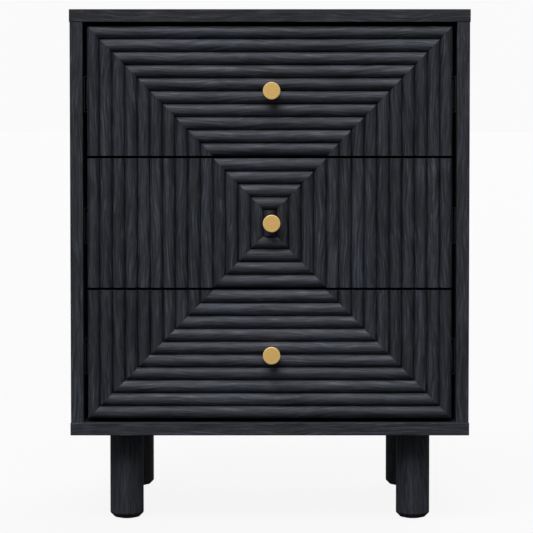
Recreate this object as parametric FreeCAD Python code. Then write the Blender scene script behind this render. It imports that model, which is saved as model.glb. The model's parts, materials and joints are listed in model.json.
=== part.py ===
import FreeCAD, Part
import math
import os

# A three-drawer nightstand on four round legs. Millimetres, +Z up, the drawers open towards -Y.
# The origin is on the floor, under the middle of the whole nightstand, knobs included.
# "depth" is always the distance behind the front edges of the top and bottom panels.
# "left" and "right" are as seen from the front.

V = FreeCAD.Vector
ALONG_X = V(1, 0, 0)
ALONG_Y = V(0, 1, 0)
ALONG_Z = V(0, 0, 1)

# Carcass
cabinet_width = 500.0
cabinet_depth = 400.0
board = 16.0
opening_height = 501.0
side_overhang = 0.7
side_setback = 0.5
edge_round = 0.8
back_board = 3.0
back_inset = 6.0
groove_depth = 5.0
groove_play = 0.2

# Legs
leg_height = 112.5
leg_radius = 21.3
leg_chamfer = 5.5
leg_spread = 182.6
leg_inset = 60.0
glide_radius = 11.0
glide_proud = 1.2
glide_nail_radius = 1.1
glide_nail_length = 14.0
leg_bolt_radius = 4.0
leg_bolt_in_leg = 36.0
insert_nut_radius = 5.5
insert_nut_length = 13.0

# Drawer fronts: 29 reeds across, 10 reeds down each front
reeds_across = 29
reeds_down = 10
reed_width = 15.75
reed_height = 16.2
reed_rise = 6.5
reed_edge = 0.4
crest_depth = 2.5
front_board = 12.0
front_gap = 3.0
drawer_names = ("bottom", "middle", "top")

# Knobs
knob_radius = 10.8
knob_disc = 6.0
knob_chamfer = 0.9
knob_projection = 16.0
knob_stem_radius = 4.0
knob_neck = 4.0
knob_offset = 2.2

# Drawer boxes
box_board = 12.0
box_height = 124.0
box_lift = 15.0
box_length = 350.0
box_floor = 4.0
box_floor_lift = 10.0

# Runners: sections are (distance from the cabinet side, half height) of a C-shaped rolled strip
slide_gap = 12.7
slide_length = 350.0
slide_start = 22.0
steel = 1.2
cage_steel = 0.8
cabinet_member = {"near": 0.0, "far": 10.0, "half": 22.8, "lip": 2.9}
intermediate_member = {"near": 2.9, "far": 10.6, "half": 17.9, "lip": 2.6}
drawer_member = {"near": slide_gap, "far": 5.4, "half": 13.0, "lip": steel}
outer_cage = {"near": 1.5, "far": 8.4, "half": 20.15, "lip": cage_steel}
inner_cage = {"near": 4.4, "far": 9.0, "half": 15.25, "lip": cage_steel}
cage_length = 170.0
ball_radius = 1.6
outer_ball_reach = 5.8
inner_ball_reach = 6.9
balls_in_row = 8

# Fasteners
play = 0.1
wood_screw = {"radius": 2.0, "head": 4.0, "length": 36.0}
runner_screw = {"radius": 1.75, "head": 3.4, "length": 11.0}
runner_screw_steps = (30.0, 175.0, 320.0)
knob_screw_radius = 2.0
knob_screw_grip = 9.0
cam_radius = 7.4
cam_thickness = 12.4
cam_from_edge = 34.0
cam_bolt_radius = 2.5
cam_bolt_thread = 11.0
dowel_radius = 4.0
dowel_length = 30.0
cam_depths = (60.0, 340.0)
dowel_depths = (105.0, 295.0)

# Sizes that follow
half_width = cabinet_width / 2
half_opening = half_width - side_overhang - board
middle_of_side = -half_opening - board / 2
floor_to_opening = leg_height + board
opening_top = floor_to_opening + opening_height
cabinet_height = opening_top + board
front_width = reeds_across * reed_width
front_height = reeds_down * reed_height
front_step = front_height + front_gap
stack_height = len(drawer_names) * front_step - front_gap
first_front = floor_to_opening + (opening_height - stack_height) / 2
base_depth = crest_depth + reed_rise
box_start = base_depth + front_board
box_end = box_start + box_length
box_half = half_opening - slide_gap
inner_half = box_half - box_board
box_middle = box_lift + box_height / 2
knob_face_depth = crest_depth - knob_projection
overall_depth = cabinet_depth - knob_face_depth
front_plane = -overall_depth / 2 - knob_face_depth


def behind(depth):
    """The y of a place this far behind the front plane."""
    return front_plane + depth


def block(x, y, z):
    """A block between the low and high value of each pair."""
    return Part.makeBox(x[1] - x[0], y[1] - y[0], z[1] - z[0], V(x[0], y[0], z[0]))


def rod(radius, start, direction, length):
    return Part.makeCylinder(radius, length, start, direction)


def turned(outline, start, direction):
    """A solid turned from (radius, distance) points, set on start and running along direction."""
    points = [V(radius, 0, distance) for radius, distance in outline]
    face = Part.Face(Part.makePolygon(points + [points[0]]))
    solid = face.revolve(V(0, 0, 0), ALONG_Z, 360)
    solid.Placement = FreeCAD.Placement(start, FreeCAD.Rotation(ALONG_Z, direction))
    return solid


def mirrored(shape):
    """The same piece on the other side of the nightstand."""
    return shape.mirror(V(0, 0, 0), ALONG_X)


def both_sides(shapes):
    return shapes + [mirrored(shape) for shape in shapes]


def cut(shape, tools):
    return shape.cut(Part.makeCompound(tools)).Solids[0]


def edges_along(shape, direction):
    """The straight edges of a shape that run along a direction."""
    found = []
    for edge in shape.Edges:
        run = edge.Vertexes[-1].Point - edge.Vertexes[0].Point
        if run.normalize().cross(direction).Length < 1e-6:
            found.append(edge)
    return found


def save(node, solids):
    shape = solids[0] if len(solids) == 1 else Part.makeCompound(solids)
    shape.exportStep("parts/" + node + ".step")


# ---- Fasteners ----

def countersunk(screw, head, direction, grow=0.0):
    """A flat-headed screw. With grow it is the hole that the screw needs."""
    shank = screw["radius"] + grow
    rim = screw["head"] + grow
    top = -grow * 5
    taper = screw["head"] - screw["radius"]
    tip = screw["length"] + grow * 5
    outline = [(0, top), (rim, top), (rim, 0), (shank, taper), (shank, tip - screw["radius"]), (0, tip)]
    return turned(outline, head, direction)


def screws(screw, places):
    return [countersunk(screw, head, direction) for head, direction in places]


def screw_holes(screw, places):
    return [countersunk(screw, head, direction, play) for head, direction in places]


# ---- Carcass ----

def level_panel(low):
    """A top or bottom panel, its edges softened, with its underside at the height low."""
    x = (-half_width, half_width)
    y = (behind(0), behind(cabinet_depth))
    panel = block(x, y, (low, low + board))
    return panel.makeFillet(edge_round, panel.Edges)


def side_panel():
    """The left side panel."""
    x = (-half_opening - board, -half_opening)
    y = (behind(side_setback), behind(cabinet_depth))
    panel = block(x, y, (floor_to_opening, opening_top))
    return panel.makeFillet(edge_round, edges_along(panel, ALONG_Z))


def back_panel(grow=0.0):
    """The thin back, which stands in grooves. With grow it is the groove's cutter."""
    reach = groove_depth - groove_play + grow
    far = cabinet_depth - back_inset
    x = (-half_opening - reach, half_opening + reach)
    y = (behind(far - back_board - grow), behind(far + grow))
    return block(x, y, (floor_to_opening - reach, opening_top + reach))


def corner_joints():
    """Each place where the left side panel meets a level panel: its height, and the way out."""
    return ((opening_top, 1), (floor_to_opening, -1))


def cam_bolts(grow=0.0):
    """Bolts that stand in the level panels and reach down or up into the left side panel's cams."""
    bolts = []
    head_end = cam_from_edge - 3.0
    neck_end = head_end - 3.5
    for height, out in corner_joints():
        for depth in cam_depths:
            shank = cam_bolt_radius + grow
            outline = [
                (0, -cam_bolt_thread - grow), (shank + 0.5, -cam_bolt_thread - grow), (shank + 0.5, 0),
                (shank, 0), (shank, neck_end), (shank + 1, neck_end), (shank + 1, head_end + grow),
                (0, head_end + grow),
            ]
            start = V(middle_of_side, behind(depth), height)
            bolts.append(turned(outline, start, ALONG_Z * -out))
    return bolts


def cam_bolt_holes():
    """Drillings for the cam bolts: a tight one in the level panel, a wide one in the side panel."""
    holes = cam_bolts(play)
    for height, out in corner_joints():
        for depth in cam_depths:
            start = V(middle_of_side, behind(depth), height)
            holes.append(rod(cam_bolt_radius + 1.5, start, ALONG_Z * -out, cam_from_edge))
    return holes


def cam_places():
    places = []
    for height, out in corner_joints():
        for depth in cam_depths:
            places.append((V(-half_opening, behind(depth), height - out * cam_from_edge), out))
    return places


def cam_locks():
    """Round cams let into the inner face of the left side panel, each with a pocket for a bolt's head."""
    locks = []
    slot_reach = 4.0
    slot_width = 1.2
    slot_sink = 1.5
    for centre, out in cam_places():
        cam = rod(cam_radius, centre, -ALONG_X, cam_thickness)
        pocket_start = V(middle_of_side, centre.y, centre.z)
        pocket = rod(cam_bolt_radius + 1.3, pocket_start, ALONG_Z * out, cam_radius + 1)
        deep = (centre.x - slot_sink, centre.x + 1)
        level = block(deep, (centre.y - slot_reach, centre.y + slot_reach),
                      (centre.z - slot_width, centre.z + slot_width))
        upright = block(deep, (centre.y - slot_width, centre.y + slot_width),
                        (centre.z - slot_reach, centre.z + slot_reach))
        locks.append(cut(cam, [pocket, level, upright]))
    return locks


def cam_lock_holes():
    holes = []
    for centre, out in cam_places():
        mouth = centre + ALONG_X
        holes.append(rod(cam_radius + play, mouth, -ALONG_X, cam_thickness + play + 1))
    return holes


def dowels(grow=0.0):
    """Wooden pins between the level panels and the left side panel."""
    pins = []
    third = dowel_length / 3
    for height, out in corner_joints():
        for depth in dowel_depths:
            start = V(middle_of_side, behind(depth), height + out * (third + grow))
            pins.append(rod(dowel_radius + grow, start, ALONG_Z * -out, dowel_length + 2 * grow))
    return pins


# ---- Legs ----

def leg_places():
    depths = {"front": leg_inset, "rear": cabinet_depth - leg_inset}
    spreads = {"left": -leg_spread, "right": leg_spread}
    return {end + "_" + side: (x, behind(depth)) for end, depth in depths.items()
            for side, x in spreads.items()}


def leg(x, y):
    """A round leg, chamfered at the foot, drilled for its bolt above and its glide's nail below."""
    outline = [
        (0, glide_proud), (leg_radius - leg_chamfer, glide_proud),
        (leg_radius, glide_proud + leg_chamfer), (leg_radius, leg_height), (0, leg_height),
    ]
    post = turned(outline, V(x, y, 0), ALONG_Z)
    bolt_hole = rod(leg_bolt_radius + play, V(x, y, leg_height + 1), -ALONG_Z, leg_bolt_in_leg + 2)
    nail_hole = rod(glide_nail_radius + play, V(x, y, 0), ALONG_Z, glide_nail_length + 2)
    return cut(post, [bolt_hole, nail_hole])


def glide(x, y):
    """A foot glide: a low disc on a nail."""
    soft_rim = 0.4
    outline = [
        (0, 0), (glide_radius - soft_rim, 0), (glide_radius, soft_rim), (glide_radius, glide_proud),
        (glide_nail_radius, glide_proud), (glide_nail_radius, glide_nail_length), (0, glide_nail_length),
    ]
    return turned(outline, V(x, y, 0), ALONG_Z)


def leg_bolt(x, y):
    """A stud, half in the leg and half in the bottom panel's insert nut."""
    low = leg_height - leg_bolt_in_leg
    return rod(leg_bolt_radius, V(x, y, low), ALONG_Z, leg_bolt_in_leg + insert_nut_length - 1)


def insert_nut(x, y):
    nut = rod(insert_nut_radius, V(x, y, leg_height), ALONG_Z, insert_nut_length)
    bore = rod(leg_bolt_radius + play, V(x, y, leg_height - 1), ALONG_Z, insert_nut_length + 2)
    return cut(nut, [bore])


def insert_nut_hole(x, y):
    start = V(x, y, leg_height - 1)
    return rod(insert_nut_radius + play, start, ALONG_Z, insert_nut_length + 1 + play)


# ---- Runners ----

def channel(section, gauge, start, length):
    """One left-hand C-shaped strip at the middle height of a drawer box that stands at z = 0."""
    near = section["near"]
    far = section["far"]
    half = section["half"]
    turn = math.copysign(gauge, far - near)
    upper = [
        (near, half), (far, half), (far, half - section["lip"]), (far - turn, half - section["lip"]),
        (far - turn, half - gauge), (near + turn, half - gauge),
    ]
    if section["lip"] == gauge:
        upper = [(near, half), (far, half), (far, half - gauge), (near + turn, half - gauge)]
    outline = upper + [(reach, -height) for reach, height in reversed(upper)]
    points = [V(-half_opening + reach, behind(start), box_middle + height) for reach, height in outline]
    face = Part.Face(Part.makePolygon(points + [points[0]]))
    return face.extrude(ALONG_Y * length)


def runner(section):
    strip = channel(section, steel, slide_start, slide_length)
    web = [edge for edge in edges_along(strip, ALONG_Y)
           if abs(edge.Vertexes[0].X + half_opening - section["near"]) < 1e-6]
    return strip.makeFillet(steel * 0.8, web)


def runner_screw_places(section, direction):
    """Screws through a runner's web, their heads flush with the web's inner face."""
    inner_face = section["near"] + math.copysign(steel, section["far"] - section["near"])
    x = -half_opening + inner_face
    return [(V(x, behind(slide_start + step), box_middle), direction) for step in runner_screw_steps]


def ball_cage(section, ball_reach):
    """A retainer strip with its two rows of balls."""
    start = slide_start + (slide_length - cage_length) / 2
    cage = channel(section, cage_steel, start, cage_length)
    spacing = cage_length / balls_in_row
    race = section["half"] - cage_steel / 2
    balls = []
    for number in range(balls_in_row):
        y = behind(start + (number + 0.5) * spacing)
        for side in (-1, 1):
            centre = V(-half_opening + ball_reach, y, box_middle + side * race)
            balls.append(Part.makeSphere(ball_radius, centre))
    return cage.fuse(balls).removeSplitter().Solids[0]


# ---- Drawer boxes: each is made with the lower edge of its front at z = 0 ----

def side_back_screw_places():
    """Screws through the left side of a box into the end of its back."""
    return [(V(-box_half, behind(box_end - box_board / 2), box_middle + rise), ALONG_X)
            for rise in (-42.0, 42.0)]


def front_side_screw_places():
    """Screws through the front board into the end of the left side, under the reeds."""
    return [(V(-box_half + box_board / 2, behind(base_depth), box_middle + rise), ALONG_Y)
            for rise in (-42.0, 42.0)]


def box_floor_panel(grow=0.0):
    """The thin floor of a box, which lies in grooves. With grow it is the groove's cutter."""
    reach = groove_depth - groove_play + grow
    low = box_lift + box_floor_lift
    x = (-inner_half - reach, inner_half + reach)
    y = (behind(box_start - reach), behind(box_end - box_board + reach))
    return block(x, y, (low - grow, low + box_floor + grow))


def box_side():
    """The left side of a box."""
    side = block((-box_half, -inner_half), (behind(box_start), behind(box_end)),
                 (box_lift, box_lift + box_height))
    upper_edges = [edge for edge in edges_along(side, ALONG_Y) if edge.Vertexes[0].Z > box_middle]
    side = side.makeFillet(edge_round, upper_edges)
    holes = screw_holes(wood_screw, side_back_screw_places() + front_side_screw_places())
    holes += screw_holes(runner_screw, runner_screw_places(drawer_member, ALONG_X))
    return cut(side, holes + [box_floor_panel(groove_play)])


def box_back():
    back = block((-inner_half, inner_half), (behind(box_end - box_board), behind(box_end)),
                 (box_lift, box_lift + box_height))
    holes = both_sides(screw_holes(wood_screw, side_back_screw_places()))
    return cut(back, holes + [box_floor_panel(groove_play)])


def front_panel():
    """The plain board behind the reeds."""
    panel = block((-front_width / 2, front_width / 2), (behind(base_depth), behind(box_start)),
                  (0, front_height))
    holes = both_sides(screw_holes(wood_screw, front_side_screw_places()))
    bore = rod(knob_screw_radius + play, V(knob_offset, behind(base_depth - 1), front_height / 2),
               ALONG_Y, front_board + 2)
    return cut(panel, holes + [bore, box_floor_panel(groove_play)])


def knob():
    """A turned knob: a chamfered disc on a narrow stem, seated on the front board."""
    stem_length = base_depth - knob_face_depth
    outline = [
        (0, 0), (knob_radius - knob_chamfer, 0), (knob_radius, knob_chamfer), (knob_radius, knob_disc),
        (knob_stem_radius + 1, knob_disc + 1), (knob_stem_radius, knob_disc + knob_neck),
        (knob_stem_radius, stem_length), (0, stem_length),
    ]
    body = turned(outline, V(knob_offset, behind(knob_face_depth), front_height / 2), ALONG_Y)
    mouth = V(knob_offset, behind(base_depth + 1), front_height / 2)
    return cut(body, [rod(knob_screw_radius + play, mouth, -ALONG_Y, knob_screw_grip + 2)])


def knob_screw():
    """A pan-headed machine screw from inside the drawer into the knob."""
    head_radius = 4.0
    head_height = 2.6
    reach = head_height + front_board + knob_screw_grip
    outline = [
        (0, 0), (head_radius - 1, 0), (head_radius, 1), (head_radius, head_height),
        (knob_screw_radius, head_height), (knob_screw_radius, reach), (0, reach),
    ]
    start = V(knob_offset, behind(box_start + head_height), front_height / 2)
    screw = turned(outline, start, -ALONG_Y)
    slot_half = 0.6
    slot_sink = 1.3
    slot = block((knob_offset - head_radius, knob_offset + head_radius),
                 (start.y - slot_sink, start.y + 1),
                 (start.z - slot_half, start.z + slot_half))
    return cut(screw, [slot])


# ---- Reeds ----
# The reeds of the whole stack are nested mitred rectangles, numbered as rings from the outside in.
# The mitres run one reed in for each reed down, from drawer to drawer, to a block in the middle.

def arc_rise(pitch, place):
    """How far a reed stands out at a place across it, where 0 is its middle."""
    half = pitch / 2
    bow = reed_rise - reed_edge
    radius = (half * half + bow * bow) / (2 * bow)
    return reed_rise - radius + math.sqrt(radius * radius - place * place)


def reed_outline(pitch):
    """A reed's section as (across, out) edges: a flat back, low sides and a bowed face."""
    half = pitch / 2
    quarter = half * 0.55

    def at(across, out):
        return V(across, 0, out)

    crest = at(0, reed_rise)
    edges = [
        Part.makeLine(at(-half, 0), at(-half, reed_edge)),
        Part.Arc(at(-half, reed_edge), at(-quarter, arc_rise(pitch, quarter)), crest).toShape(),
        Part.Arc(crest, at(quarter, arc_rise(pitch, quarter)), at(half, reed_edge)).toShape(),
        Part.makeLine(at(half, reed_edge), at(half, 0)),
        Part.makeLine(at(half, 0), at(-half, 0)),
    ]
    return Part.Face(Part.Wire(edges))


def reed_bar(section, along, middle, length):
    """A bar of reed section, its flat back on the front board, centred on (x, z)."""
    out = V(0, -1, 0)
    if along == ALONG_Z:
        across = ALONG_X
    else:
        across = -ALONG_Z
    turn = FreeCAD.Matrix(across.x, along.x, out.x, 0, across.y, along.y, out.y, 0,
                          across.z, along.z, out.z, 0, 0, 0, 0, 1)
    centre = V(middle[0], behind(base_depth), middle[1])
    bar = section.transformGeometry(turn).extrude(along * length)
    return bar.translate(centre - along * (length / 2))


def mitre_window(corners):
    """A prism from front to back that keeps what lies inside the (x, z) corners."""
    points = [V(x, behind(crest_depth - 1), z) for x, z in corners]
    face = Part.Face(Part.makePolygon(points + [points[0]]))
    return face.extrude(ALONG_Y * (reed_rise + 2))


def ring_x(ring):
    """The x of a ring's outer edge, left of the middle."""
    return -front_width / 2 + ring * reed_width


def level_reed(ring, edge, down):
    """A level reed whose ring 0 would start at the height edge; down is 1 below it, -1 above it."""
    spare = 0.2
    corners = []
    for side, place in ((-1, ring - spare), (1, ring - spare), (1, ring + 1 + spare), (-1, ring + 1 + spare)):
        corners.append((-side * ring_x(place), edge - down * place * reed_height))
    middle = edge - down * (ring + 0.5) * reed_height
    bar = reed_bar(reed_outline(reed_height), ALONG_X, (0, middle), front_width)
    return bar.common(mitre_window(corners)).Solids[0]


def upright_reed(ring, low_edge, high_edge):
    """A left upright reed between two heights, which are those of its outer and its inner edge."""
    middle = ring_x(ring + 0.5)
    spare = 0.2
    corners = []
    for place, (outer, inner) in ((-spare, low_edge), (1 + spare, low_edge),
                                  (1 + spare, high_edge), (-spare, high_edge)):
        corners.append((ring_x(ring + place), outer + (inner - outer) * place))
    bar = reed_bar(reed_outline(reed_width), ALONG_Z, (middle, front_height / 2), 2 * front_height)
    return bar.common(mitre_window(corners)).Solids[0]


def outer_drawer_reeds(down):
    """The reeds of the top drawer (down = 1) or the bottom drawer (down = -1)."""
    edge = front_height if down == 1 else 0.0
    far = front_height - edge
    levels = [level_reed(ring, edge, down) for ring in range(reeds_down)]
    uprights = []
    for ring in range(reeds_down):
        mitre = (edge - down * ring * reed_height, edge - down * (ring + 1) * reed_height)
        square = (far, far)
        low, high = (square, mitre) if down == 1 else (mitre, square)
        uprights.append(upright_reed(ring, low, high))
    return levels, both_sides(uprights)


def middle_drawer_reeds():
    """Full-height uprights outside, mitred rings inside them, and a block in the middle."""
    inner_rings = range(reeds_down, reeds_across // 2)
    levels = []
    uprights = [upright_reed(ring, (0, 0), (front_height, front_height)) for ring in range(reeds_down)]
    for ring in inner_rings:
        outer = (ring - reeds_down) * reed_height
        inner = outer + reed_height
        levels.append(level_reed(ring, front_height + reeds_down * reed_height, 1))
        levels.append(level_reed(ring, -reeds_down * reed_height, -1))
        uprights.append(upright_reed(ring, (outer, inner), (front_height - outer, front_height - inner)))
    centre = (0, front_height / 2)
    length = front_height - 2 * len(inner_rings) * reed_height
    block_reed = reed_bar(reed_outline(reed_width), ALONG_Z, centre, length)
    return levels, both_sides(uprights) + [block_reed]


def seat_knob(reeds):
    """Drills the reeds for the knob's stem."""
    start = V(knob_offset, behind(crest_depth - 1), front_height / 2)
    bore = rod(knob_stem_radius + play, start, ALONG_Y, reed_rise + 2)
    return [cut(reed, [bore]) if reed.distToShape(bore)[0] < play else reed for reed in reeds]


# ---- Putting it together ----

def raised(shapes, height):
    return [shape.translated(V(0, 0, height)) for shape in shapes]


def save_drawer(name, height, reeds):
    """Writes every piece of one drawer, with the lower edge of its front at this height."""
    levels, uprights = reeds
    fixings = both_sides(screws(wood_screw, side_back_screw_places() + front_side_screw_places()))
    fixings += both_sides(screws(runner_screw, runner_screw_places(drawer_member, ALONG_X)))
    side = box_side()
    pieces = {
        "drawer_front": [front_panel()],
        "level_reeds": seat_knob(levels),
        "upright_reeds": seat_knob(uprights),
        "drawer_left_side": [side],
        "drawer_right_side": [mirrored(side)],
        "drawer_back": [box_back()],
        "drawer_floor": [box_floor_panel()],
        "drawer_screws": fixings,
        "knob": [knob()],
        "knob_screw": [knob_screw()],
        "drawer_runners": both_sides([cut(runner(drawer_member), screw_holes(
            runner_screw, runner_screw_places(drawer_member, ALONG_X)))]),
        "intermediate_runners": both_sides([runner(intermediate_member)]),
        "outer_ball_cages": both_sides([ball_cage(outer_cage, outer_ball_reach)]),
        "inner_ball_cages": both_sides([ball_cage(inner_cage, inner_ball_reach)]),
    }
    for piece, solids in pieces.items():
        save(name + "_" + piece, raised(solids, height))


def save_carcass(front_heights):
    """Writes the cabinet, its runners and the hardware that holds it together."""
    runner_places = runner_screw_places(cabinet_member, -ALONG_X)
    drilled_runner = cut(runner(cabinet_member), screw_holes(runner_screw, runner_places))
    runners = []
    runner_screws = []
    runner_holes = []
    for height in front_heights:
        runners += raised(both_sides([drilled_runner]), height)
        runner_screws += raised(both_sides(screws(runner_screw, runner_places)), height)
        runner_holes += raised(screw_holes(runner_screw, runner_places), height)
    drillings = cam_bolt_holes() + dowels(play)
    groove = back_panel(groove_play)
    side = cut(side_panel(), drillings + cam_lock_holes() + runner_holes + [groove])
    level_drillings = both_sides(cam_bolts(play) + dowels(play)) + [groove]
    nut_holes = [insert_nut_hole(x, y) for x, y in leg_places().values()]
    save("top_panel", [cut(level_panel(opening_top), level_drillings)])
    save("bottom_panel", [cut(level_panel(leg_height), level_drillings + nut_holes)])
    save("left_side_panel", [side])
    save("right_side_panel", [mirrored(side)])
    save("back_panel", [back_panel()])
    save("cam_locks", both_sides(cam_locks()))
    save("cam_bolts", both_sides(cam_bolts()))
    save("dowels", both_sides(dowels()))
    save("cabinet_runners", runners)
    save("cabinet_runner_screws", runner_screws)


def save_legs():
    places = leg_places()
    for corner, (x, y) in places.items():
        save(corner + "_leg", [leg(x, y)])
    save("foot_glides", [glide(x, y) for x, y in places.values()])
    save("leg_bolts", [leg_bolt(x, y) for x, y in places.values()])
    save("insert_nuts", [insert_nut(x, y) for x, y in places.values()])


def main():
    os.makedirs("parts", exist_ok=True)
    front_heights = [first_front + number * front_step for number in range(len(drawer_names))]
    all_reeds = (outer_drawer_reeds(-1), middle_drawer_reeds(), outer_drawer_reeds(1))
    save_carcass(front_heights)
    save_legs()
    for name, height, reeds in zip(drawer_names, front_heights, all_reeds):
        save_drawer(name, height, reeds)


main()
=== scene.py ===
import json
import math
import random

import bmesh
import bpy
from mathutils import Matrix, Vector


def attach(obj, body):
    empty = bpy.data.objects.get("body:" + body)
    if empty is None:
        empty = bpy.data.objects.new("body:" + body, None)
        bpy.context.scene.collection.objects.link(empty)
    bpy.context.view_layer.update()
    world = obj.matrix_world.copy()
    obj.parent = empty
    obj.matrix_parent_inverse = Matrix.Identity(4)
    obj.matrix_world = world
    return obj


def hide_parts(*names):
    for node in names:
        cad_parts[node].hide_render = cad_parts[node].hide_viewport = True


# Looks for the three-drawer nightstand. +Z is up and the drawers open towards -Y.
# Named sizes are millimetres, turned into metres by MM; grain and noise scales are per metre.
# Depths are measured back from FRONT, the front edges of the top and bottom panels.
# The reeds, knobs and legs are made again here, with softened arrises and their own grain.

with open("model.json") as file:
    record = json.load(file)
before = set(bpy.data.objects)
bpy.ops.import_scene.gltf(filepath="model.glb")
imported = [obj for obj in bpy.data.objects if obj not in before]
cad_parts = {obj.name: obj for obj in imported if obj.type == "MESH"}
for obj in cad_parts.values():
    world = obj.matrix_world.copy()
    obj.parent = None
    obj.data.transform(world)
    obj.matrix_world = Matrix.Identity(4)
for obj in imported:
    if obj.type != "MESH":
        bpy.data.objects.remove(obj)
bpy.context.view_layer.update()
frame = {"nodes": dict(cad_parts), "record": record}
random.seed(41)

MM = 0.001
FRONT = -193.25

# Reeds: one pitch for the upright ones, one for the level ones
REED_WIDTH = 15.75
REED_HEIGHT = 16.2
REED_RISE = 6.5  # from the reed's back to its crest
REED_EDGE = 0.4  # from the reed's back to where its bowed face starts
REED_BASE_DEPTH = 9.0  # the plain board behind the reeds
REEDS_ACROSS = 29
REEDS_DOWN = 10
MITRE_GAP = 0.07

# How the reeds differ from each other: figure, how proud each stands, and a slight wave
FIGURE_SHIFT = 1.5
REED_PROUD = (-0.10, 0.05)
REED_WAVE = 0.04
WAVE_PER_MM = 0.045  # radians of the wave to the millimetre
REED_STEP = 12.0  # spacing of the mesh's rows along a reed

# Drawer fronts
FRONT_WIDTH = REEDS_ACROSS * REED_WIDTH
FRONT_HEIGHT = REEDS_DOWN * REED_HEIGHT
FRONT_GAP = 3.0
LOWEST_FRONT = 133.0  # height of the bottom drawer's front above the floor
FRONT_LOW = {name: LOWEST_FRONT + number * (FRONT_HEIGHT + FRONT_GAP)
             for number, name in enumerate(("bottom", "middle", "top"))}

# Knobs
KNOB_RADIUS = 10.8
KNOB_DISC = 6.0  # the disc's thickness
KNOB_FACE_DEPTH = -13.5
KNOB_STEM = 4.0  # the stem's radius
KNOB_OFFSET = 2.2  # to the right of the middle
KNOB_LAND = 2.0  # the outermost flat ring of the face
KNOB_CHAMFER = 0.45
KNOB_BACK_CHAMFER = 0.7
KNOB_BACK_SIDE = 0.6
KNOB_BACK_SLOPE = 0.4
KNOB_NECK = 1.6  # how much wider than the stem its neck starts
KNOB_NECK_END = 2.6
# The knob's paler rim is painted highlight: a bright ring of colour standing in for the light its edge
# catches.
RIM_HIGHLIGHT_START = 1.3  # how far inside the edge the paler rim starts
RIM_HIGHLIGHT_END = 0.4

# Legs
LEG_RADIUS = 21.3
LEG_LOW = 1.2  # the foot's height above the floor, which is the glide's thickness
LEG_HEIGHT = 112.5
LEG_CHAMFER = 5.5
LEG_TOP_EASE = 0.3
LEG_SPREAD = 182.6  # from the middle to a leg's centre line
LEG_INSET = 60.0
CABINET_DEPTH = 400.0
LEG_DEPTHS = {"front": LEG_INSET, "rear": CABINET_DEPTH - LEG_INSET}

# Black-stained oak: the stain in the deep grain, between, and on the lightest streaks
OAK_DEEP = (0.0115, 0.0129, 0.0166)
OAK_MID = (0.0300, 0.0335, 0.0440)
OAK_PALE = (0.0800, 0.0860, 0.1040)

# Camera, far off in front of the panels' edges, with a long lens and a slight downward tilt
LENS = 168.295
SENSOR = 36.0
CAMERA_DISTANCE = 3108.1
CAMERA_HEIGHT = 518.1
CAMERA_TILT = 2.831


# ---- Node trees ----

def feed(tree, socket, value):
    """Links an input to another node's output, or sets it to a plain value."""
    if isinstance(value, bpy.types.NodeSocket):
        tree.links.new(value, socket)
    else:
        socket.default_value = value


def node(tree, kind, settings=None, **inputs):
    """A new node. Inputs are given by name, with _ for a space."""
    made = tree.nodes.new(kind)
    for name, value in (settings or {}).items():
        setattr(made, name, value)
    for name, value in inputs.items():
        feed(tree, made.inputs[name.replace("_", " ")], value)
    return made


def noise(tree, vector, scale, detail=2.0, roughness=0.5):
    """Noise whose grain is scale cells to the metre along each axis."""
    placed = node(tree, "ShaderNodeMapping", Vector=vector, Scale=scale)
    made = node(tree, "ShaderNodeTexNoise", Vector=placed.outputs["Vector"], Scale=1.0, Detail=detail,
                Roughness=roughness)
    return made.outputs["Fac"]


def ramp(tree, value, low, high, to_low=0.0, to_high=1.0):
    """The value's range low to high, spread over to_low to to_high and held there outside it."""
    made = node(tree, "ShaderNodeMapRange", Value=value, From_Min=low, From_Max=high,
                To_Min=to_low, To_Max=to_high)
    return made.outputs["Result"]


def calc(tree, operation, a, b):
    made = node(tree, "ShaderNodeMath", {"operation": operation})
    feed(tree, made.inputs[0], a)
    feed(tree, made.inputs[1], b)
    return made.outputs[0]


def add_vectors(tree, a, b):
    made = node(tree, "ShaderNodeVectorMath", {"operation": "ADD"})
    feed(tree, made.inputs[0], a)
    feed(tree, made.inputs[1], b)
    return made.outputs["Vector"]


def blend(tree, kind, factor, a, b):
    """Mixes two colours. In a colour mix the inputs 6 and 7 and the output 2 are the colour ones."""
    made = node(tree, "ShaderNodeMix", {"data_type": "RGBA", "blend_type": kind})
    feed(tree, made.inputs["Factor"], factor)
    feed(tree, made.inputs[6], a)
    feed(tree, made.inputs[7], b)
    return made.outputs[2]


def grey(value):
    return (value, value, value, 1.0)


def new_material(name):
    material = bpy.data.materials.new(name)
    material.use_nodes = True
    tree = material.node_tree
    return material, tree, tree.nodes["Principled BSDF"]


def bump(tree, shader, height, strength, distance):
    made = node(tree, "ShaderNodeBump", Height=height, Strength=strength, Distance=distance)
    tree.links.new(made.outputs["Normal"], shader.inputs["Normal"])


# ---- Materials ----

def grain_space(tree, along, place):
    """Object coordinates turned so that x runs with the grain, moved by place to vary the figure."""
    where = node(tree, "ShaderNodeTexCoord").outputs["Object"]
    parts = node(tree, "ShaderNodeSeparateXYZ", Vector=where)
    order = {"X": "XZY", "Z": "ZXY", "Y": "YXZ"}[along]
    turned = node(tree, "ShaderNodeCombineXYZ", X=parts.outputs[order[0]], Y=parts.outputs[order[1]],
                  Z=parts.outputs[order[2]])
    return add_vectors(tree, turned.outputs["Vector"], place)


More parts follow.
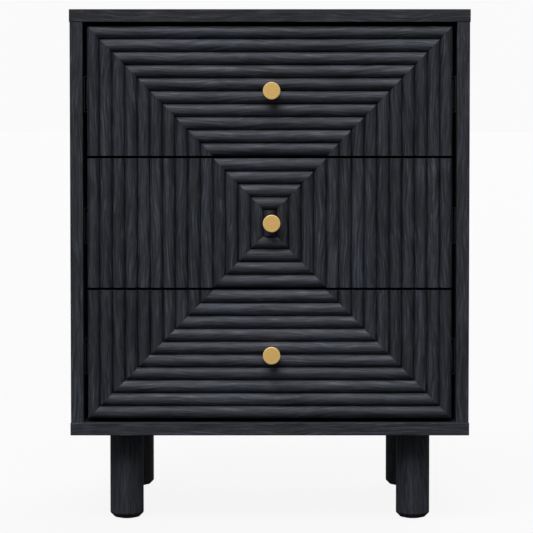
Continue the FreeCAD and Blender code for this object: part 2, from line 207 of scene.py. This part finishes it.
def black_oak(name, along=None, place=(0, 0, 0), lightness=1.0, figured=1.0, warmth=1.0):
    """Oak stained black, its figure strong or faint by figured. Without along, the pieces hold
    their own grain and tone attributes."""
    material, tree, shader = new_material(name)
    if along:
        space = grain_space(tree, along, place)
        tone = None
    else:
        space = node(tree, "ShaderNodeAttribute", {"attribute_name": "grain"}).outputs["Vector"]
        tone = node(tree, "ShaderNodeAttribute", {"attribute_name": "tone"}).outputs["Fac"]

    # The grain wanders sideways by up to 28 mm along a board.
    wander = noise(tree, space, (7, 20, 20), 1)
    push = node(tree, "ShaderNodeCombineXYZ", Y=calc(tree, "MULTIPLY", wander, 0.028))
    flow = add_vectors(tree, space, push.outputs["Vector"])

    # Dark pores, broad streaks, pale streaks and thin dark lines, all drawn out along the grain
    pores = ramp(tree, noise(tree, flow, (45, 1500, 700), 2, 0.6), 0.52, 0.66)
    streaks = ramp(tree, noise(tree, flow, (18, 370, 230), 4, 0.6), 0.38, 0.62)
    lights = ramp(tree, noise(tree, flow, (36, 600, 340), 3, 0.6), 0.51, 0.68)
    lines = ramp(tree, noise(tree, flow, (12, 760, 420), 2, 0.6), 0.42, 0.62)

    # Growth rings in long ovals, then slow changes of tone and hue
    stretched = node(tree, "ShaderNodeMapping", Vector=flow, Scale=(1.6, 30, 30)).outputs["Vector"]
    rings = node(tree, "ShaderNodeTexWave", {"wave_type": "RINGS", "rings_direction": "X"},
                 Vector=stretched, Scale=2.2, Distortion=5.0, Detail=2.0, Detail_Scale=1.2)
    figure = ramp(tree, rings.outputs["Fac"], 0.2, 0.95)
    patches = noise(tree, flow, (6, 22, 22), 2)
    hue = noise(tree, flow, (11, 40, 40), 1)

    deep, mid, pale = ((red * lightness * warmth, green * lightness, blue * lightness, 1)
                       for red, green, blue in (OAK_DEEP, OAK_MID, OAK_PALE))
    colour = blend(tree, "MIX", streaks, deep, mid)
    colour = blend(tree, "MIX", calc(tree, "MULTIPLY", lights, 0.62 * figured), colour, pale)
    colour = blend(tree, "MULTIPLY", calc(tree, "MULTIPLY", pores, 0.55), colour, grey(0.35))
    colour = blend(tree, "MULTIPLY", calc(tree, "MULTIPLY", lines, 0.50), colour, grey(0.50))
    colour = blend(tree, "MULTIPLY", calc(tree, "MULTIPLY", figure, 0.40 * figured), colour, grey(0.42))
    tint = blend(tree, "MIX", ramp(tree, hue, 0.32, 0.68), (1.04, 1.0, 0.99, 1), (0.95, 0.995, 1.04, 1))
    colour = blend(tree, "MULTIPLY", 1.0, colour, tint)
    level = ramp(tree, patches, 0.3, 0.7, 0.84, 1.16)
    if tone is not None:
        level = calc(tree, "MULTIPLY", level, ramp(tree, tone, 0, 1, 0.84, 1.16))
    shade = node(tree, "ShaderNodeCombineXYZ", X=level, Y=level, Z=level)
    colour = blend(tree, "MULTIPLY", 1.0, colour, shade.outputs["Vector"])
    tree.links.new(colour, shader.inputs["Base Color"])

    rough = ramp(tree, lights, 0, 1, 0.60, 0.50)
    tree.links.new(rough, shader.inputs["Roughness"])
    shader.inputs["Specular IOR Level"].default_value = 0.32
    height = calc(tree, "SUBTRACT", calc(tree, "MULTIPLY", streaks, 0.5), pores)
    bump(tree, shader, height, 0.42, 0.00022)
    return material


def dark_board(name, along, place):
    """Charcoal laminated board with a faint printed grain."""
    material, tree, shader = new_material(name)
    space = grain_space(tree, along, place)
    streaks = ramp(tree, noise(tree, space, (10, 260, 260), 4, 0.6), 0.35, 0.68)
    specks = ramp(tree, noise(tree, space, (90, 1500, 1500), 2), 0.45, 0.7)
    colour = blend(tree, "MIX", streaks, (0.024, 0.025, 0.027, 1), (0.046, 0.047, 0.051, 1))
    colour = blend(tree, "MIX", calc(tree, "MULTIPLY", specks, 0.35), colour, (0.075, 0.076, 0.080, 1))
    tree.links.new(colour, shader.inputs["Base Color"])
    tree.links.new(ramp(tree, specks, 0, 1, 0.58, 0.70), shader.inputs["Roughness"])
    bump(tree, shader, specks, 0.15, 0.0001)
    return material


def dark_hardboard(name):
    """Painted hardboard: a pressed, slightly mottled face."""
    material, tree, shader = new_material(name)
    space = node(tree, "ShaderNodeTexCoord").outputs["Object"]
    mottle = noise(tree, space, (60, 60, 60), 3, 0.6)
    fibres = noise(tree, space, (900, 900, 900), 2)
    colour = blend(tree, "MIX", ramp(tree, mottle, 0.3, 0.7), (0.027, 0.028, 0.030, 1),
                   (0.040, 0.041, 0.043, 1))
    tree.links.new(colour, shader.inputs["Base Color"])
    tree.links.new(ramp(tree, fibres, 0.3, 0.7, 0.66, 0.82), shader.inputs["Roughness"])
    bump(tree, shader, fibres, 0.3, 0.00015)
    return material


def satin_brass(name):
    """Champagne brass under clear lacquer: a fine turned face, and a paler rim that is painted highlight.
    """
    material, tree, shader = new_material(name)
    rings_at = node(tree, "ShaderNodeAttribute", {"attribute_name": "grain"}).outputs["Vector"]
    rings = noise(tree, rings_at, (3800, 4, 4), 2, 0.6)
    specks = noise(tree, rings_at, (1100, 5, 900), 2, 0.6)
    radius = node(tree, "ShaderNodeSeparateXYZ", Vector=rings_at).outputs["X"]
    # The paler rim is painted highlight, a ring of lighter colour and lower metallic in place of the light
    # caught by the knob's edge.
    painted_rim_highlight = ramp(tree, radius, (KNOB_RADIUS - RIM_HIGHLIGHT_START) * MM, (KNOB_RADIUS - RIM_HIGHLIGHT_END) * MM)
    colour = blend(tree, "MIX", ramp(tree, specks, 0.35, 0.65), (0.84, 0.520, 0.160, 1),
                   (1.0, 0.680, 0.245, 1))
    colour = blend(tree, "MULTIPLY", ramp(tree, rings, 0.45, 0.7, 0.0, 0.12), colour, grey(0.6))
    colour = blend(tree, "MIX", painted_rim_highlight, colour, (0.96, 0.71, 0.33, 1))
    tree.links.new(colour, shader.inputs["Base Color"])
    tree.links.new(ramp(tree, painted_rim_highlight, 0, 1, 0.62, 0.40), shader.inputs["Metallic"])
    tree.links.new(ramp(tree, rings, 0.3, 0.7, 0.52, 0.62), shader.inputs["Roughness"])
    bump(tree, shader, rings, 0.12, 0.00004)
    return material


def zinc_steel(name):
    """Bright zinc plate with a soft spangle and fine draw lines along the strips."""
    material, tree, shader = new_material(name)
    shader.inputs["Metallic"].default_value = 1.0
    space = node(tree, "ShaderNodeTexCoord").outputs["Object"]
    spangle = noise(tree, space, (240, 240, 240), 3, 0.6)
    lines = noise(tree, space, (1800, 14, 1800), 2)
    colour = blend(tree, "MIX", ramp(tree, spangle, 0.3, 0.7), (0.50, 0.52, 0.55, 1),
                   (0.68, 0.70, 0.72, 1))
    tree.links.new(colour, shader.inputs["Base Color"])
    tree.links.new(ramp(tree, lines, 0.3, 0.7, 0.28, 0.44), shader.inputs["Roughness"])
    bump(tree, shader, lines, 0.12, 0.00005)
    return material


def black_steel(name):
    """Electro-coated steel strip: black, satin, with the strip's fine draw lines."""
    material, tree, shader = new_material(name)
    space = node(tree, "ShaderNodeTexCoord").outputs["Object"]
    orange_peel = noise(tree, space, (700, 700, 700), 2)
    lines = noise(tree, space, (1500, 12, 1500), 2)
    colour = blend(tree, "MIX", ramp(tree, lines, 0.35, 0.7), (0.007, 0.007, 0.008, 1),
                   (0.014, 0.014, 0.015, 1))
    tree.links.new(colour, shader.inputs["Base Color"])
    tree.links.new(ramp(tree, orange_peel, 0.3, 0.7, 0.45, 0.58), shader.inputs["Roughness"])
    bump(tree, shader, orange_peel, 0.15, 0.00006)
    return material


def black_plastic(name):
    """Moulded plastic with a fine spark-eroded texture."""
    material, tree, shader = new_material(name)
    space = node(tree, "ShaderNodeTexCoord").outputs["Object"]
    texture = noise(tree, space, (1600, 1600, 1600), 2)
    scuffs = noise(tree, space, (120, 120, 120), 3, 0.7)
    colour = blend(tree, "MIX", ramp(tree, scuffs, 0.35, 0.75), (0.012, 0.012, 0.013, 1),
                   (0.022, 0.022, 0.023, 1))
    tree.links.new(colour, shader.inputs["Base Color"])
    tree.links.new(ramp(tree, texture, 0.3, 0.7, 0.48, 0.64), shader.inputs["Roughness"])
    bump(tree, shader, texture, 0.25, 0.0001)
    return material


def beech(name):
    """Plain beech with its short dark flecks."""
    material, tree, shader = new_material(name)
    space = grain_space(tree, "Z", (0.3, 0.1, 0.2))
    streaks = noise(tree, space, (30, 500, 500), 3, 0.6)
    flecks = ramp(tree, noise(tree, space, (260, 1900, 1900), 1), 0.60, 0.68)
    colour = blend(tree, "MIX", ramp(tree, streaks, 0.3, 0.7), (0.46, 0.30, 0.17, 1),
                   (0.62, 0.44, 0.27, 1))
    colour = blend(tree, "MULTIPLY", calc(tree, "MULTIPLY", flecks, 0.6), colour, (0.45, 0.30, 0.20, 1))
    tree.links.new(colour, shader.inputs["Base Color"])
    tree.links.new(ramp(tree, streaks, 0.3, 0.7, 0.5, 0.62), shader.inputs["Roughness"])
    bump(tree, shader, streaks, 0.2, 0.0001)
    return material


# ---- Meshes ----

def finish_mesh(mesh, smooth_angle):
    """Turns the faces outwards and shades them smooth, up to an angle in degrees."""
    work = bmesh.new()
    work.from_mesh(mesh)
    bmesh.ops.recalc_face_normals(work, faces=work.faces[:])
    work.to_mesh(mesh)
    work.free()
    mesh.shade_smooth()
    mesh.set_sharp_from_angle(angle=math.radians(smooth_angle))


def piece(name, points, faces, grain, tone, smooth_angle):
    """A mesh object from points in millimetres, with its grain and tone held on its points."""
    mesh = bpy.data.meshes.new(name)
    mesh.from_pydata([Vector(point) * MM for point in points], [], faces)
    held = mesh.attributes.new("grain", "FLOAT_VECTOR", "POINT")
    held.data.foreach_set("vector", [c * MM for vector in grain for c in vector])
    tones = mesh.attributes.new("tone", "FLOAT", "POINT")
    tones.data.foreach_set("value", tone)
    finish_mesh(mesh, smooth_angle)
    made = bpy.data.objects.new(name, mesh)
    bpy.context.scene.collection.objects.link(made)
    return made


def stand_for(made, material, body, cad_node):
    """Gives a piece its material and its body, and puts it in place of a CAD node."""
    made.data.materials.append(material)
    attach(made, body)
    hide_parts(cad_node)


def reed_profile(pitch):
    """(across, out) points of a reed: low sides, then a bowed face that stops just short of them."""
    half = pitch / 2
    bow = REED_RISE - REED_EDGE
    radius = (half * half + bow * bow) / (2 * bow)
    steps = 14
    widest = math.asin(half / radius) * 0.985
    side_rise = REED_EDGE * 0.6
    points = [(-half, 0.0), (-half, side_rise)]
    for step in range(steps + 1):
        angle = widest * (2 * step / steps - 1)
        points.append((radius * math.sin(angle), REED_RISE - radius + radius * math.cos(angle)))
    points += [(half, side_rise), (half, 0.0)]
    return points


class Strips:
    """Collects reeds into one mesh. Its reeds are sawn from one board, so their figure runs on."""

    def __init__(self):
        self.board = (random.uniform(0, 9000), random.uniform(0, 9000), random.uniform(0, 900))
        self.points = []
        self.faces = []
        self.grain = []
        self.tone = []

    def add(self, upright, middle, pitch, outer, low_end, high_end):
        """One reed. middle is its centre line's x or z, outer is +1 or -1 for the side its ring's
        outside is on, and the ends are functions of the place across, positive outwards."""
        profile = reed_profile(pitch)
        longest = max(high_end(place) - low_end(place) for place, rise in profile)
        rows = max(2, round(longest / REED_STEP))
        first = len(self.points)
        start = [place + random.uniform(-FIGURE_SHIFT, FIGURE_SHIFT) for place in self.board]
        tone = random.random()
        sway = random.uniform(0, 6.28)
        proud = random.uniform(*REED_PROUD)
        for row in range(rows + 1):
            share = row / rows
            for place, rise in profile:
                low = low_end(place) + MITRE_GAP
                high = high_end(place) - MITRE_GAP
                along = low + (high - low) * share
                out = rise
                if rise > REED_EDGE:
                    wave = REED_WAVE * math.sin(along * WAVE_PER_MM + sway)
                    out += (rise / REED_RISE) * (proud + wave)
                across = middle + outer * place
                y = FRONT + REED_BASE_DEPTH - out
                self.points.append((across, y, along) if upright else (along, y, across))
                self.grain.append((along + start[0], across + start[1], 0.5 * out + start[2]))
                self.tone.append(tone)
        count = len(profile)
        for row in range(rows):
            for step in range(count):
                a = first + row * count + step
                b = first + row * count + (step + 1) % count
                self.faces.append((a, b, b + count, a + count))
        last = first + rows * count
        self.faces.append(tuple(first + step for step in range(count)))
        self.faces.append(tuple(last + step for step in range(count)))

    def build(self, name):
        return piece(name, self.points, self.faces, self.grain, self.tone, 50)


def ring_end(ring, place, pitch):
    """How many reeds in from the outside a ring's mitre is, at a place across the reed."""
    return ring + 0.5 - place / pitch


def level_reed(strips, ring, middle, outer):
    """A level reed, mitred at both ends. middle is the height of its centre line."""
    def reach(place):
        return FRONT_WIDTH / 2 - ring_end(ring, place, REED_HEIGHT) * REED_WIDTH

    strips.add(False, middle, REED_HEIGHT, outer, lambda place: -reach(place), reach)


def upright_pair(strips, ring, low_end, high_end):
    """The left and right reeds of one ring, between two ends that are functions of the place across."""
    x = FRONT_WIDTH / 2 - (ring + 0.5) * REED_WIDTH
    for side in (-1, 1):
        strips.add(True, side * x, REED_WIDTH, side, low_end, high_end)


def outer_drawer(name, down):
    """The reeds of the top drawer, with down = 1, whose rings are open below, or of the bottom
    drawer, with down = -1, whose rings are open above."""
    levels = Strips()
    uprights = Strips()
    low = FRONT_LOW[name]
    high = low + FRONT_HEIGHT
    for ring in range(REEDS_DOWN):
        inward = (ring + 0.5) * REED_HEIGHT
        level_reed(levels, ring, high - inward if down == 1 else low + inward, down)

        def mitre(place, ring=ring):
            rise = ring_end(ring, place, REED_WIDTH) * REED_HEIGHT
            return high - rise if down == 1 else low + rise

        if down == 1:
            upright_pair(uprights, ring, lambda place: low, mitre)
        else:
            upright_pair(uprights, ring, mitre, lambda place: high)
    return levels, uprights


def middle_drawer():
    """The reeds of the middle drawer: the outer rings' uprights pass over its whole height, and the
    inner rings close around one short reed."""
    levels = Strips()
    uprights = Strips()
    low = FRONT_LOW["middle"]
    high = low + FRONT_HEIGHT
    for ring in range(REEDS_ACROSS // 2):
        if ring < REEDS_DOWN:
            upright_pair(uprights, ring, lambda place: low, lambda place: high)
            continue
        inner = ring - REEDS_DOWN
        inward = (inner + 0.5) * REED_HEIGHT
        level_reed(levels, ring, high - inward, 1)
        level_reed(levels, ring, low + inward, -1)

        def rise(place, inner=inner):
            return ring_end(inner, place, REED_WIDTH) * REED_HEIGHT

        upright_pair(uprights, ring, lambda place: low + rise(place), lambda place: high - rise(place))
    inner_rings = REEDS_ACROSS // 2 - REEDS_DOWN
    block_low = low + inner_rings * REED_HEIGHT
    block_high = high - inner_rings * REED_HEIGHT
    uprights.add(True, 0.0, REED_WIDTH, 1, lambda place: block_low, lambda place: block_high)
    return levels, uprights


def turned(name, outline, centre, axis, grain_at, segments=96):
    """A solid of revolution from (radius, distance) points, closed on its axis at both ends.
    grain_at gives the grain's place at a radius, an angle and a distance."""
    points = []
    grain = []
    rings = []
    for radius, distance in outline:
        count = 1 if radius == 0 else segments
        rings.append((len(points), count))
        for step in range(count):
            angle = 2 * math.pi * step / segments
            a = radius * math.cos(angle)
            b = radius * math.sin(angle)
            if axis == "Z":
                point = (centre[0] + a, centre[1] + b, centre[2] + distance)
            else:
                point = (centre[0] + a, centre[1] + distance, centre[2] + b)
            points.append(point)
            grain.append(grain_at(radius, angle, distance))
    faces = []
    for (first, count), (after, count_after) in zip(rings, rings[1:]):
        for step in range(segments):
            follow = (step + 1) % segments
            corners = [first + (step if count > 1 else 0), first + (follow if count > 1 else 0),
                       after + (follow if count_after > 1 else 0), after + (step if count_after > 1 else 0)]
            faces.append(tuple(dict.fromkeys(corners)))
    middle_tone = 0.5
    return piece(name, points, faces, grain, [middle_tone] * len(points), 35)


def rounded(corner, before, after, radius, steps=5):
    """Points of a curve that rounds an outline's corner, starting radius before it."""
    corner = Vector(corner)
    start = corner + (Vector(before) - corner).normalized() * radius
    end = corner + (Vector(after) - corner).normalized() * radius
    arc = []
    for step in range(steps + 1):
        t = step / steps
        arc.append(tuple(start * (1 - t) ** 2 + corner * 2 * t * (1 - t) + end * t ** 2))
    return arc


def soften(outline, radii):
    """An outline with some corners rounded; radii holds a radius by corner number."""
    made = []
    for number, point in enumerate(outline):
        if number in radii:
            made += rounded(point, outline[number - 1], outline[number + 1], radii[number])
        else:
            made.append(point)
    return made


def knob_outline():
    """A flat disc with a fine chamfer, narrowing behind to a stem that reaches the front board."""
    radius = KNOB_RADIUS
    stem_end = REED_BASE_DEPTH - KNOB_FACE_DEPTH
    outline = [
        (0, 0.0), (radius - KNOB_LAND, 0.0), (radius - KNOB_CHAMFER, 0.0), (radius, KNOB_CHAMFER),
        (radius, KNOB_DISC - KNOB_BACK_SIDE), (radius - KNOB_BACK_CHAMFER, KNOB_DISC),
        (KNOB_STEM + KNOB_NECK, KNOB_DISC + KNOB_BACK_SLOPE), (KNOB_STEM, KNOB_DISC + KNOB_NECK_END),
        (KNOB_STEM, stem_end), (0, stem_end),
    ]
    return soften(outline, {2: 0.2, 3: 0.2, 4: 0.3, 5: 0.3, 6: 1.0, 7: 1.2})


def leg_outline():
    """A round post that stands on its glide, LEG_LOW above the floor, with a chamfered foot."""
    top = LEG_HEIGHT - LEG_LOW
    outline = [
        (0, 0), (LEG_RADIUS - LEG_CHAMFER, 0), (LEG_RADIUS, LEG_CHAMFER),
        (LEG_RADIUS, top - LEG_TOP_EASE), (LEG_RADIUS - LEG_TOP_EASE, top), (0, top),
    ]
    return soften(outline, {1: 0.6, 2: 1.2})


# ---- Drawer fronts, knobs and legs ----

# The level reeds' oak is made much lighter than the upright reeds' (lightness 1.72 against 1.16). This is
# painted sheen: colour standing in for the light from above that the level reeds' grain catches.
level_oak_painted_sheen = black_oak("black_oak_level_reeds", lightness=1.72, figured=0.62, warmth=1.03)
upright_oak = black_oak("black_oak_upright_reeds", lightness=1.16)
leg_oak = black_oak("black_oak_legs", lightness=1.24, figured=0.6)
brass = satin_brass("satin_brass")


def knob_grain(radius, angle, distance):
    """The brass's turned rings follow the radius, and its specks the way round."""
    return (radius, 3 * angle, distance)


drawer_reeds = {
    "top": outer_drawer("top", 1),
    "middle": middle_drawer(),
    "bottom": outer_drawer("bottom", -1),
}
for name, (levels, uprights) in drawer_reeds.items():
    body = name + "_drawer"
    stand_for(levels.build(name + "_drawer_level_reed_strips"), level_oak_painted_sheen, body,
              name + "_level_reeds")
    stand_for(uprights.build(name + "_drawer_upright_reed_strips"), upright_oak, body,
              name + "_upright_reeds")
    centre = (KNOB_OFFSET, FRONT + KNOB_FACE_DEPTH, FRONT_LOW[name] + FRONT_HEIGHT / 2)
    knob = turned(name + "_drawer_knob", knob_outline(), centre, "Y", knob_grain, 128)
    stand_for(knob, brass, body, name + "_knob")

for end, depth in LEG_DEPTHS.items():
    for side_name, side in (("left", -1), ("right", 1)):
        offset = (random.uniform(0, 5000), random.uniform(0, 5000))

        def along_leg(radius, angle, distance, offset=offset):
            return (distance + offset[0], radius * math.cos(angle) + offset[1], radius * math.sin(angle))

        foot = (side * LEG_SPREAD, FRONT + depth, LEG_LOW)
        leg = turned(end + "_" + side_name + "_round_leg", leg_outline(), foot, "Z", along_leg)
        stand_for(leg, leg_oak, "cabinet", end + "_" + side_name + "_leg")


# ---- Carried-over CAD nodes ----

panel_oak = {
    "top_panel": black_oak("black_oak_top", "X", (0.3, 0.11, 0.27), 1.10),
    "bottom_panel": black_oak("black_oak_bottom", "X", (1.9, 0.43, 0.61), 1.17),
    "left_side_panel": black_oak("black_oak_left_side", "Z", (0.7, 0.9, 0.05), 1.14),
    "right_side_panel": black_oak("black_oak_right_side", "Z", (2.7, 0.2, 0.45), 1.12),
}
back_board = dark_board("dark_board_backs", "X", (1.4, 0.5, 0.2))
by_slot = {
    "black_oak": black_oak("black_oak_front_boards", "X", (3.1, 0.7, 0.9), 0.8),
    "dark_board": dark_board("dark_board_sides", "Y", (0.4, 0.1, 0.2)),
    "dark_hardboard": dark_hardboard("dark_hardboard"),
    "satin_brass": brass,
    "zinc_steel": zinc_steel("zinc_steel"),
    "black_steel": black_steel("black_steel"),
    "black_plastic": black_plastic("black_plastic"),
    "beech": beech("beech"),
}
slots = {row["node"]: row["material_slot"] for row in frame["record"]["subparts"]}
for name, cad_node in frame["nodes"].items():
    if name.endswith("_drawer_back"):
        material = back_board
    else:
        material = panel_oak.get(name, by_slot[slots[name]])
    cad_node.data.materials.clear()
    cad_node.data.materials.append(material)


# ---- Floor, light and camera ----

def make_floor():
    """A wide pale floor, lit mostly by its own glow, so that it stays as even as the backdrop."""
    reach = 60.0
    mesh = bpy.data.meshes.new("floor")
    work = bmesh.new()
    corners = [work.verts.new((x * reach, y * reach, 0)) for x, y in ((-1, -1), (1, -1), (1, 1), (-1, 1))]
    work.faces.new(corners)
    work.to_mesh(mesh)
    work.free()
    floor = bpy.data.objects.new("floor", mesh)
    bpy.context.scene.collection.objects.link(floor)
    material, tree, shader = new_material("pale_floor")
    space = node(tree, "ShaderNodeTexCoord").outputs["Object"]
    cloud = noise(tree, space, (3, 3, 3), 2)
    colour = blend(tree, "MIX", cloud, (0.034, 0.034, 0.034, 1), (0.038, 0.038, 0.038, 1))
    tree.links.new(colour, shader.inputs["Base Color"])
    shader.inputs["Roughness"].default_value = 0.9
    shader.inputs["Specular IOR Level"].default_value = 0.1
    shader.inputs["Emission Color"].default_value = (1, 1, 1, 1)
    shader.inputs["Emission Strength"].default_value = 0.896
    mesh.materials.append(material)
    floor.visible_diffuse = False
    floor.visible_glossy = False


def sun(name, azimuth, elevation, strength, spread):
    """A soft lamp as wide as spread, in degrees. Azimuth 0 is in front of the nightstand and 90 is
    to its right."""
    lamp = bpy.data.lights.new(name, "SUN")
    lamp.energy = strength
    lamp.angle = math.radians(spread)
    made = bpy.data.objects.new(name, lamp)
    a = math.radians(azimuth)
    e = math.radians(elevation)
    back = Vector((math.sin(a) * math.cos(e), -math.cos(a) * math.cos(e), math.sin(e)))
    made.rotation_euler = back.to_track_quat("Z", "Y").to_euler()
    made.location = back * 4
    bpy.context.scene.collection.objects.link(made)


def make_world():
    """A studio's soft surroundings, brightest about eye level, in front of a plain pale backdrop."""
    world = bpy.data.worlds.new("studio")
    bpy.context.scene.world = world
    world.use_nodes = True
    tree = world.node_tree
    direction = node(tree, "ShaderNodeTexCoord").outputs["Generated"]
    up = node(tree, "ShaderNodeSeparateXYZ", Vector=direction).outputs["Z"]
    bands = node(tree, "ShaderNodeValToRGB", Fac=ramp(tree, up, -1, 1))
    # Brightness by height, from straight down at 0 to straight up at 1
    stops = ((0.0, 0.04), (0.480, 0.04), (0.488, 0.62), (0.540, 0.62), (0.565, 0.24), (0.72, 0.26),
             (0.84, 0.42), (1.0, 0.42))
    ramp_points = bands.color_ramp.elements
    while len(ramp_points) < len(stops):
        ramp_points.new(0.5)
    for point, (place, value) in zip(ramp_points, stops):
        point.position = place
        point.color = grey(value)
    seen = node(tree, "ShaderNodeLightPath").outputs["Is Camera Ray"]
    backdrop = blend(tree, "MIX", seen, bands.outputs["Color"], grey(0.955))
    tree.links.new(backdrop, tree.nodes["Background"].inputs["Color"])


def make_camera():
    data = bpy.data.cameras.new("camera")
    data.sensor_width = SENSOR
    data.lens = LENS
    data.shift_x = -0.0062
    data.shift_y = -0.0593
    data.clip_start = 0.05
    data.clip_end = 200.0
    camera = bpy.data.objects.new("camera", data)
    camera.location = (0.0, (FRONT - CAMERA_DISTANCE) * MM, CAMERA_HEIGHT * MM)
    camera.rotation_euler = (math.radians(90 - CAMERA_TILT), 0.0, 0.0)
    bpy.context.scene.collection.objects.link(camera)
    bpy.context.scene.camera = camera


make_floor()
sun("key", azimuth=-14, elevation=53, strength=2.84, spread=42)
sun("back", azimuth=152, elevation=38, strength=0.9, spread=40)
make_world()
make_camera()
bpy.context.scene.view_settings.view_transform = "Standard"
